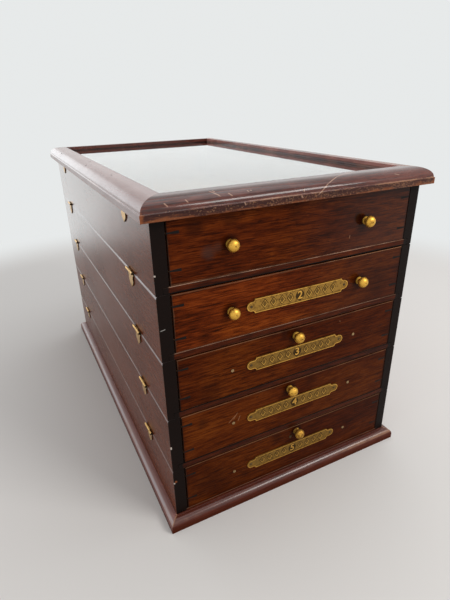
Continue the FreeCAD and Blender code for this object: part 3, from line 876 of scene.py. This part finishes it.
# Marks on the drawer fronts, in millimetres: middle x and z, radius, softness and strength of each stain,
# and the two ends of each scratch
# The first stain of drawer 1, just left of its right knob, is partly a painted shadow of the knob
STAINS = {1: ((64.0, 295.5, 3.0, 4.0, 0.9), (58.0, 300.0, 2.0, 14.0, 0.35), (-104.0, 309.0, 3.0, 9.0, 0.6),
              (-72.0, 312.0, 2.0, 10.0, 0.5), (-8.0, 308.0, 2.0, 9.0, 0.45)),
          2: ((-100.0, 209.0, 1.0, 8.0, 0.5), (96.0, 226.0, 4.0, 22.0, 0.35)),
          3: ((-14.0, 191.0, 3.0, 6.0, 0.7), (-96.0, 150.0, 3.0, 16.0, 0.4)),
          4: ((-106.0, 118.0, 1.0, 8.0, 0.5), (20.0, 124.0, 1.0, 10.0, 0.4)),
          5: ((-100.0, 40.0, 6.0, 26.0, 0.35), (-20.0, 64.0, 2.0, 9.0, 0.5))}
BRUISES = {1: ((-93.0, 286.0, 2.0, 7.0, 0.55), (-84.0, 289.0, 1.0, 6.0, 0.4))}
SCRATCHES = {1: ((55.0, 275.5, 55.6, 279.5),), 3: ((52.0, 188.0, 54.5, 187.0),),
             4: ((-79.0, 106.1, -70.0, 113.7), (-73.4, 108.8, -67.6, 116.5), (-68.0, 105.0, -65.0, 112.0))}


def handled_front(number, high):
    """Darkening round the knobs of a drawer front, partly dirt and partly painted contact shade, its stains
    and scratches, and painted shade in the gaps at its ends.
    """
    def marks(f, at, grain, shade, dull):
        x = at[0] + 0.006 * (grain.mottle - 0.5)
        z = at[2] + 0.006 * (grain.clouds - 0.5)
        # Round each knob: partly dirt, partly painted contact shade
        for middle in knob_places(number):
            shade = f.blend(0.75 * spot(x, z, middle, 0.0045, 0.006), shade, f.wood.front_dark)
        # Painted shade darkening the right end of the front
        shade = f.blend(RIGHT_END_SHADE[number] * at[0].rise(-0.06, 0.09), shade, f.wood.front_dark)
        for group, tone in ((STAINS, f.wood.front_dark), (BRUISES, f.wood.bruise)):
            for u, v, radius, softness, strength in group.get(number, ()):
                patch = spot(x, z, (u * MM, v * MM), radius * MM, softness * MM)
                shade = f.blend(strength * patch, shade, tone)
        for x0, z0, x1, z1 in SCRATCHES.get(number, ()):
            line = scratch(at[0], at[2], (x0 * MM, z0 * MM), (x1 * MM, z1 * MM), 0.0005)
            shade = f.blend(0.55 * line, shade, f.wood.bare)
        # Painted shade for the gaps beside the stiles, laid on the ends of the front
        gap_shade = abs(at[0]).rise(high.x - 0.0009, high.x - 0.0005)
        gap_shade = gap_shade * at[1].fall(FRONT_Y + 0.0006, FRONT_Y + 0.0012)
        shade = f.blend(0.9 * gap_shade, shade, f.wood.blackened)
        if FRONT_LINES[number]:
            shade = f.blend(FRONT_LINES[number] * edge_line(at, grain, high.z), shade, f.wood.bare)
        return shade, dull + 0.3 * gap_shade
    return marks


class BOX_OT_drawer_linings(bpy.types.Operator):
    """Sides, backs and bottoms of the drawers; the pins of the sides show dark in the fronts"""

    bl_idname = "flatware_box.drawer_linings"
    bl_label = "Drawer Linings"

    def execute(self, context):
        for number in CASES:
            dress("drawer_%d_boards" % number,
                  lining("drawer_%d_side_wood" % number, 43 * number, "Y", stained_pins))
            dress("drawer_%d_bottom" % number, lining("drawer_%d_panel_wood" % number, 47 * number, "X"))
        return {"FINISHED"}


def stained_pins(f, at, shade, dull):
    """Near-black stain on the ends of the pins."""
    pin = at[1].fall(FRONT_Y + 0.0002, FRONT_Y + 0.0004)
    return f.blend(pin, shade, f.wood.blackened), dull + 0.1 * pin


# How much brown bloom the knobs of each drawer carry
KNOB_BLOOM = {1: 0.40, 2: 0.42, 3: 0.52, 4: 0.58, 5: 0.85}


class BOX_OT_knobs(bpy.types.Operator):
    """Turned brass knobs with dirt in the dimple and round the collar"""

    bl_idname = "flatware_box.knobs"
    bl_label = "Knobs"

    def execute(self, context):
        for number in CASES:
            dress("drawer_%d_knobs" % number, brass("knob_%d_brass" % number, 53 * number, "rubbed",
                                                    KNOB_BLOOM[number], knob_dirt(number), rough=0.40))
        return {"FINISHED"}


def knob_dirt(number):
    """Dirt in the dimple of a knob and round its collar."""
    middle = knob_places(number)[-1]

    def dirt(f, at, bloom):
        x = abs(at[0]) if number in PAIRED_KNOBS else at[0]
        dimple = spot(x, at[2], middle, 0.0003, 0.0006) * at[1].fall(FRONT_Y - 0.0085, FRONT_Y - 0.0080)
        collar = at[1].rise(FRONT_Y - 0.0030, FRONT_Y - 0.0005)
        return (0.6 * dimple).greater(0.5 * collar)
    return dirt


class BOX_OT_nameplates(bpy.types.Operator):
    """Nameplates with a dark ground, a raised number between lozenges, brads and cut-off bolt ends"""

    bl_idname = "flatware_box.nameplates"
    bl_label = "Nameplates"

    def execute(self, context):
        for number in CASES[1:]:
            low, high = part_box("nameplate_%d" % number)
            middle = (low + high) / 2
            dress("nameplate_%d" % number, brass("plate_%d_brass" % number, 59 * number, "plate", 0.45,
                                                 plate_dirt(number, middle), rough=0.36))
            put(plate_figures(number, middle), "drawer_%d" % number, "brass",
                brass("figure_%d_brass" % number, 59 * number + 1, "plate", 0.2, figure_dirt, rough=0.34))
            dress("drawer_%d_pins" % number,
                  brass("brad_%d_brass" % number, 61 * number, "stub", 0.1, brad_dirt, rough=0.5))
        return {"FINISHED"}


def lozenge_shift(index):
    """How far a lozenge stands from the middle of its plate."""
    return bpy.context.scene.box_brass.lozenge_pitch * (index + 1.15)


def plate_dirt(number, middle):
    """Dirt on the ground of a nameplate, darkest close round its number, its lozenges and inside its rim."""
    grime = 0.36 if number == 2 else 0.54

    def dirt(f, at, bloom):
        half_length, half_height = f.metal.lozenge_length / 2, f.metal.lozenge_height / 2
        u, v = abs(at[0] - middle.x), abs(at[2] - middle.z)
        near = (u / 0.0052 + (v / 0.0062) * (v / 0.0062)).fall(0.92, 1.08)
        for index in range(f.metal.lozenge_count):
            off = abs(u - lozenge_shift(index)) / (half_length + 0.0011)
            near = near.greater((off + v / (half_height + 0.0014)).fall(0.92, 1.08))
        near = near.greater(0.8 * v.rise(0.0051, 0.0056) * u.fall(0.048, 0.049))
        sunk = at[1].rise(PLATE_GROUND_Y - 0.0003, PLATE_GROUND_Y - 0.0001)
        return sunk * (grime + 0.3 * bloom).greater(0.95 * near)
    return dirt


def figure_dirt(f, at, bloom):
    """Darker on the flanks of the raised figures, and where they meet the plate."""
    flank = (0.0 - f.facing()[1]).fall(0.3, 0.8)
    return (0.9 * flank).greater(0.8 * at[1].rise(PLATE_GROUND_Y - 0.00014, PLATE_GROUND_Y - 0.00006))


def brad_dirt(f, at, bloom):
    """Tarnish on the brads near the middle of a front, and none on the bolt ends further out."""
    return (0.55 + 0.4 * bloom) * abs(at[0]).fall(0.060, 0.064)


def plate_figures(number, middle):
    """The raised number of a nameplate, between two rows of hollow lozenges, as one piece."""
    tones = bpy.context.scene.box_brass
    letter_per_figure = 1.38
    ground = Vector((middle.x, PLATE_GROUND_Y, middle.z))
    toward = Vector((0.0, -tones.figure_relief, 0.0))
    bpy.ops.object.select_all(action="DESELECT")
    bpy.ops.object.text_add(location=ground + toward / 2, rotation=(math.pi / 2, 0.0, 0.0))
    piece = bpy.context.object
    piece.data.body = str(number)
    piece.data.align_x = "CENTER"
    piece.data.align_y = "CENTER"
    piece.data.size = tones.figure_height * letter_per_figure
    piece.data.offset = tones.figure_relief
    piece.data.extrude = tones.figure_relief / 2
    piece.data.resolution_u = 6
    bpy.ops.object.convert(target="MESH")
    piece = bpy.context.object
    piece.name = "nameplate_%d_figures" % number
    bpy.ops.object.transform_apply(location=True, rotation=True, scale=True)
    edit(piece)
    bpy.ops.mesh.select_all(action="SELECT")
    bpy.ops.mesh.remove_doubles(threshold=TOUCH)
    bpy.ops.mesh.normals_make_consistent(inside=False)
    done()
    first = lozenge(ground, toward)
    copies = []
    for index in range(tones.lozenge_count):
        for sign in (-1, 1):
            copy = bpy.data.objects.new("lozenge", first.data.copy())
            bpy.context.scene.collection.objects.link(copy)
            copy.location.x = sign * lozenge_shift(index)
            copies.append(copy)
    bpy.data.objects.remove(first)
    only(piece)
    for copy in copies:
        copy.select_set(True)
    bpy.ops.object.join()
    return piece


def lozenge(ground, toward):
    """A raised line round a lozenge, with the ground showing inside it."""
    tones = bpy.context.scene.box_brass
    bpy.ops.object.select_all(action="DESELECT")
    bpy.ops.mesh.primitive_circle_add(vertices=4, radius=1.0, fill_type="NGON",
                                      rotation=(math.pi / 2, 0.0, 0.0))
    piece = bpy.context.object
    piece.scale = (tones.lozenge_length / 2, tones.lozenge_height / 2, 1.0)
    bpy.ops.object.transform_apply(location=True, rotation=True, scale=True)
    edit(piece)
    bpy.ops.mesh.select_all(action="SELECT")
    bpy.ops.transform.translate(value=ground)
    bpy.ops.mesh.extrude_region_move(TRANSFORM_OT_translate={"value": toward})
    bpy.ops.mesh.inset(thickness=tones.lozenge_rim, depth=0.0)
    bpy.ops.transform.translate(value=-0.9 * toward)
    bpy.ops.mesh.select_all(action="SELECT")
    bpy.ops.mesh.normals_make_consistent(inside=False)
    done()
    return piece


class BOX_OT_hinges(bpy.types.Operator):
    """Brass hinges at the seams of the left side"""

    bl_idname = "flatware_box.hinges"
    bl_label = "Hinges"

    def execute(self, context):
        for number, seam in enumerate(("lid", "1", "2", "3", "4")):
            for half in ("fixed", "moving"):
                dress("hinge_%s_%s" % (seam, half),
                      brass("hinge_%s_%s_brass" % (seam, half), 67 + number, "pale", 0.45, hinge_dirt))
        return {"FINISHED"}


def hinge_dirt(f, at, bloom):
    """Painted shade on a hinge: on its faces that look forward or down, and behind its barrel next to the
    side.
    """
    facing = f.facing()
    ends = (0.0 - facing[1]).rise(0.25, 0.70)
    under = (0.0 - facing[2]).rise(0.50, 0.90)
    behind = at[0].rise(-0.1409, -0.1404)
    return ends.greater(under).greater(0.9 * behind)


class BOX_OT_lid(bpy.types.Operator):
    """Moulded lid frame, its glazing beads and the glass"""

    bl_idname = "flatware_box.lid"
    bl_label = "Lid"

    def execute(self, context):
        section = [(0.5, 0.0)] + quarter_turn((0.5, 0.0), (0.0, 0.5), 3, False)
        section += [(0.0, 6.0), (0.9, 6.6)] + quarter_turn((0.9, 6.6), (15.5, 16.0), 14, True)
        section += [(24.0, 16.0), (24.0, 10.0), (19.0, 10.0), (19.0, 0.0)]
        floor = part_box("lid_rails")[0].z

        def hinge_rooms():
            rooms = []
            for y in HINGE_PLACES:
                rooms.append(mortise(y, floor - LEAF_GAP, LEAF_DEPTH + LEAF_GAP))
                rooms.append(rod((HINGE_X, y, floor - HINGE_DROP), GROOVE_RADIUS, 2 * HINGE_HALF + 0.0006))
            return rooms

        frame_bars("lid", section, floor, 101, "lid", ("lid_rails", "lid_stiles"), lid_wear, lid_polish,
                   (0.10, 0.26), 0.15, hinge_rooms)
        dress("lid_beads", mahogany("lid_bead_wood", 97, "Y", "case", gloss=0.4))
        dress("lid_glass", old_glass())
        return {"FINISHED"}


def old_glass():
    """Clear glass with a light film of smears."""
    f = Finish("old_glass")
    smear = f.noise(f.place(), 5, (14.0, 9.0, 10.0), 4.0, 0.6, 0.8)
    return f.surface({"Base Color": (0.94, 0.97, 0.96), "Roughness": 0.015 + 0.05 * smear.rise(0.45, 0.8),
                      "Transmission Weight": 1.0, "IOR": 1.5, "Coat Weight": 0.5, "Coat Roughness": 0.02})


# Scratches on the front moulding of the lid, in millimetres: x and the way up the curve, at both ends
LID_SCRATCHES = ((-129.0, 10.5, -126.5, 5.0), (-112.0, 12.0, -110.0, 7.0), (-90.5, 22.0, -82.0, 9.0),
                 (-87.0, 21.5, -85.0, 18.0), (-75.5, 14.0, -72.5, 8.0), (7.0, -3.0, 22.0, 11.0),
                 (20.0, 9.0, 36.0, 20.5), (34.0, 19.5, 48.0, 26.0), (47.0, 25.5, 62.0, 28.5),
                 (98.0, 12.0, 104.0, 9.0), (-58.5, 14.0, -57.0, 11.5), (-55.5, 14.0, -54.5, 12.5),
                 (-64.0, 0.5, -62.5, -2.5), (-7.0, 6.0, -6.0, 3.0), (-10.0, 0.0, -8.0, -3.0))

# Dents on the top of the left moulding of the lid, in millimetres: x and y of both ends
LID_DENTS = ((-141.5, -20.0, -138.5, -12.0), (-137.0, -26.0, -134.5, -22.0), (-133.0, 4.0, -129.0, 10.0),
             (-143.0, 150.0, -142.5, 166.0), (-135.0, -120.0, -134.0, -112.0))


def lid_polish(side):
    """Top coat of one moulding of the lid: full on the left, none in the hollow of the others' lip."""
    if side == "left":
        return lambda at, mottle: 0.35 + 0.65 * mottle
    most = 0.12 if side == "right" else 0.42
    return lambda at, mottle: 0.03 + (0.5 + mottle) * most * at[2].rise(QUIRK_Z - 0.0005, QUIRK_Z + 0.0007)


def lid_wear(side):
    """Rubbed lip, scuffed quirk, a darker fillet, painted sheen on the left and on the right's inner face,
    painted shade by the glass at the rear and, in front, the scratches of one moulding of the lid.
    """
    def marks(f, at, grain, shade, dull):
        x, y, z = at
        mottle, streaks, clouds = grain
        fillet = z.fall(QUIRK_Z - 0.0005, QUIRK_Z + 0.0001)
        shade = f.blend(0.7 * fillet, shade, f.wood.plum_dark)
        lip = z + 0.0120 * (streaks - 0.5) + 0.0140 * (mottle - 0.5)
        lip = lip.fall(QUIRK_Z - 0.0065, QUIRK_Z - 0.0033)
        shade = f.blend(0.75 * lip, shade, f.wood.chip)
        speckle = f.noise(f.place(), 83, 800.0, 3.0, 0.65)
        crumbs = (0.2 * clouds + 0.2 * mottle + 0.6 * speckle).rise(0.535, 0.575)
        shade = f.blend(0.45 * crumbs * z.fall(QUIRK_Z + 0.0007, QUIRK_Z + 0.0015), shade, f.wood.bare)
        quirk = z.rise(QUIRK_Z - 0.0005, QUIRK_Z - 0.0001) * z.fall(QUIRK_Z + 0.0005, QUIRK_Z + 0.0011)
        scuff = quirk * (0.5 * clouds + 0.5 * mottle).rise(0.47, 0.55)
        shade = f.blend(0.45 * scuff, shade, f.wood.bare)
        corner = (FRAME_HALF_X + FRAME_HALF_Y) * MM
        tip = (abs(x) + abs(y) + 0.010 * (mottle - 0.5)).rise(corner - 0.0040, corner - 0.0005)
        shade = f.blend(0.85 * tip, shade, f.wood.chip)
        dull = dull + 0.12 * lip + 0.10 * fillet
        if side == "left":
            # Partly painted sheen: a paler rosy tone over the whole left moulding
            shade = f.blend(0.50, shade, f.wood.faded)
            inner = x.rise(-LID_INNER_X - 0.0014, -LID_INNER_X - 0.0004)
            shade = f.blend(0.6 * inner, shade, f.wood.blackened)
            for x0, y0, x1, y1 in LID_DENTS:
                dent = scratch(x, y + 0.003 * (mottle - 0.5), (x0 * MM, y0 * MM), (x1 * MM, y1 * MM), 0.0012)
                shade = f.blend(0.7 * dent, shade, f.wood.plum_dark)
                dull = dull + 0.3 * dent
        elif side == "rear":
            # Painted shade on the rear moulding's inner face, by the glass
            painted_low_inside = z.fall(GLASS_TOP_Z + 0.0003, GLASS_TOP_Z + 0.0030)
            shade = f.blend(0.7 * painted_low_inside, shade, f.wood.blackened)
        elif side == "right":
            rubbed = (0.5 * clouds + 0.5 * mottle).rise(0.42, 0.56)
            shade = f.blend(0.7 * rubbed, shade, f.wood.chip)
            inner = x.fall(LID_INNER_X + 0.0004, LID_INNER_X + 0.0008)
            # Painted sheen on the inner face: paler and rosy high up, greyer low down
            high_inside = inner * z.rise(GLASS_TOP_Z + 0.0017, GLASS_TOP_Z + 0.0033)
            painted_low_inside = inner * z.fall(GLASS_TOP_Z + 0.0013, GLASS_TOP_Z + 0.0027)
            bleached_sheen = [1.7 * value for value in f.wood.faded]
            shade = f.blend((0.6 + 0.3 * rubbed) * high_inside, shade, bleached_sheen)
            shade = f.blend(0.22 * painted_low_inside, shade, f.wood.rubbed_ledge)
        else:
            up = (z - QUIRK_Z) + (y + FRAME_HALF_Y * MM)
            for x0, up0, x1, up1 in LID_SCRATCHES:
                ends = ((x0 * MM, up0 * MM), (x1 * MM, up1 * MM))
                line = scratch(x + 0.003 * (mottle - 0.5), up, *ends, 0.0008)
                shade = f.blend(0.62 * line, shade, f.wood.worn_line)
        return shade, dull
    return marks


class BOX_OT_stage(bpy.types.Operator):
    """Pale floor, backdrop, three soft lamps and the camera"""

    bl_idname = "flatware_box.stage"
    bl_label = "Stage"

    def execute(self, context):
        stage = context.scene.box_stage
        self.floor(stage)
        self.daylight(stage)
        self.lamp("key_lamp", (0.88, -1.42, 1.30), (0.0, -0.1, 0.15), (0.8, 0.5), stage.key_power,
                  (1.0, 0.97, 0.93))
        self.lamp("top_lamp", (0.4, 0.1, 1.9), (0.0, 0.0, 0.2), (1.4, 1.4), stage.top_power,
                  (0.95, 0.98, 1.0))
        self.lamp("window_lamp", (-0.95, 2.50, 0.72), (-0.14, 0.0, 0.3), (1.7, 1.0), stage.window_power,
                  (0.90, 0.96, 1.0))
        self.camera(stage)
        context.scene.view_settings.view_transform = "Standard"
        return {"FINISHED"}

    def floor(self, stage):
        """A wide floor that turns into the backdrop further out."""
        bpy.ops.object.select_all(action="DESELECT")
        bpy.ops.mesh.primitive_plane_add(size=24.0, location=(0.0, 0.0, 0.0))
        floor = bpy.context.object
        floor.name = "studio_floor"
        f = Finish("studio_floor_paint")
        place = f.place()
        x, y = f.parts(place)[:2]
        dimmer = [0.97 * value for value in stage.floor]
        painted = f.node("ShaderNodeBsdfPrincipled", None,
                         {"Base Color": f.blend(f.noise(place, 3, 1.5, 2.0), dimmer, stage.floor),
                          "Roughness": 0.9, "Specular IOR Level": 0.1})
        far = ((x * x + y * y) ** 0.5).rise(stage.fade_start, stage.fade_end)
        seen = far * f.rays("Is Camera Ray", "Is Glossy Ray", "Is Transmission Ray")
        f.show(f.node("ShaderNodeMixShader", None,
                      {0: seen, 1: painted, 2: f.backdrop("ShaderNodeEmission")}))
        floor.data.materials.append(f.material)

    def daylight(self, stage):
        """Even light all round, with the backdrop where the camera and reflections look."""
        world = bpy.data.worlds.new("studio_daylight")
        bpy.context.scene.world = world
        world.use_nodes = True
        sky = Tree(world.node_tree)
        light = sky.node("ShaderNodeBackground", None,
                         {"Color": (1.0, 0.98, 0.96), "Strength": stage.daylight})
        seen = sky.rays("Is Camera Ray", "Is Glossy Ray", "Is Transmission Ray")
        mixed = sky.node("ShaderNodeMixShader", None,
                         {0: seen, 1: light, 2: sky.backdrop("ShaderNodeBackground")})
        sky.show(mixed, "ShaderNodeOutputWorld")

    def lamp(self, name, place, aim, size, energy, tint):
        """A soft lamp aimed at a point."""
        data = bpy.data.lights.new(name, "AREA")
        data.shape = "RECTANGLE"
        data.size, data.size_y = size
        data.energy = energy
        data.color = tint
        lamp = bpy.data.objects.new(name, data)
        bpy.context.scene.collection.objects.link(lamp)
        lamp.location = place
        lamp.rotation_euler = (Vector(aim) - Vector(place)).to_track_quat("-Z", "Y").to_euler()

    def camera(self, stage):
        """The camera of the photo."""
        yaw, pitch, roll = stage.camera_yaw, stage.camera_pitch, stage.camera_roll
        ahead = Vector((math.sin(yaw) * math.cos(pitch), math.cos(yaw) * math.cos(pitch), -math.sin(pitch)))
        right = Vector((math.cos(yaw), -math.sin(yaw), 0.0))
        down = Vector((-math.sin(yaw) * math.sin(pitch), -math.cos(yaw) * math.sin(pitch), -math.cos(pitch)))
        across = math.cos(roll) * right + math.sin(roll) * down
        upward = math.sin(roll) * right - math.cos(roll) * down
        view = bpy.data.cameras.new("photo_view")
        view.sensor_fit = "VERTICAL"
        view.sensor_height = 36.0
        view.lens = stage.focal
        camera = bpy.data.objects.new("photo_view", view)
        bpy.context.scene.collection.objects.link(camera)
        turn = Matrix((across, upward, -ahead)).transposed().to_4x4()
        camera.matrix_world = Matrix.Translation(Vector(stage.camera_place)) @ turn
        bpy.context.scene.camera = camera


STEPS = (BOX_OT_base, BOX_OT_case_sides, BOX_OT_case_boards, BOX_OT_drawer_fronts, BOX_OT_drawer_linings,
         BOX_OT_knobs, BOX_OT_nameplates, BOX_OT_hinges, BOX_OT_lid, BOX_OT_stage)


class BOX_PT_panel(bpy.types.Panel):
    """Every piece of the box, in the order in which it is made"""

    bl_label = "Flatware Box"
    bl_idname = "BOX_PT_panel"
    bl_space_type = "VIEW_3D"
    bl_region_type = "UI"
    bl_category = "Flatware Box"

    def draw(self, context):
        for step in STEPS:
            self.layout.operator(step.bl_idname)
        for group in ("box_wood", "box_brass", "box_stage"):
            settings = getattr(context.scene, group)
            column = self.layout.column()
            for name in settings.__annotations__:
                column.prop(settings, name)


CLASSES = (WoodSettings, BrassSettings, StageSettings, *STEPS, BOX_PT_panel)


def register():
    for each in CLASSES:
        bpy.utils.register_class(each)
    bpy.types.Scene.box_wood = PointerProperty(type=WoodSettings)
    bpy.types.Scene.box_brass = PointerProperty(type=BrassSettings)
    bpy.types.Scene.box_stage = PointerProperty(type=StageSettings)


def unregister():
    for name in ("box_wood", "box_brass", "box_stage"):
        delattr(bpy.types.Scene, name)
    for each in reversed(CLASSES):
        bpy.utils.unregister_class(each)


def main():
    """Make every piece in order."""
    register()
    bpy.ops.flatware_box.base()
    bpy.ops.flatware_box.case_sides()
    bpy.ops.flatware_box.case_boards()
    bpy.ops.flatware_box.drawer_fronts()
    bpy.ops.flatware_box.drawer_linings()
    bpy.ops.flatware_box.knobs()
    bpy.ops.flatware_box.nameplates()
    bpy.ops.flatware_box.hinges()
    bpy.ops.flatware_box.lid()
    bpy.ops.flatware_box.stage()


if __name__ == "__main__":
    main()
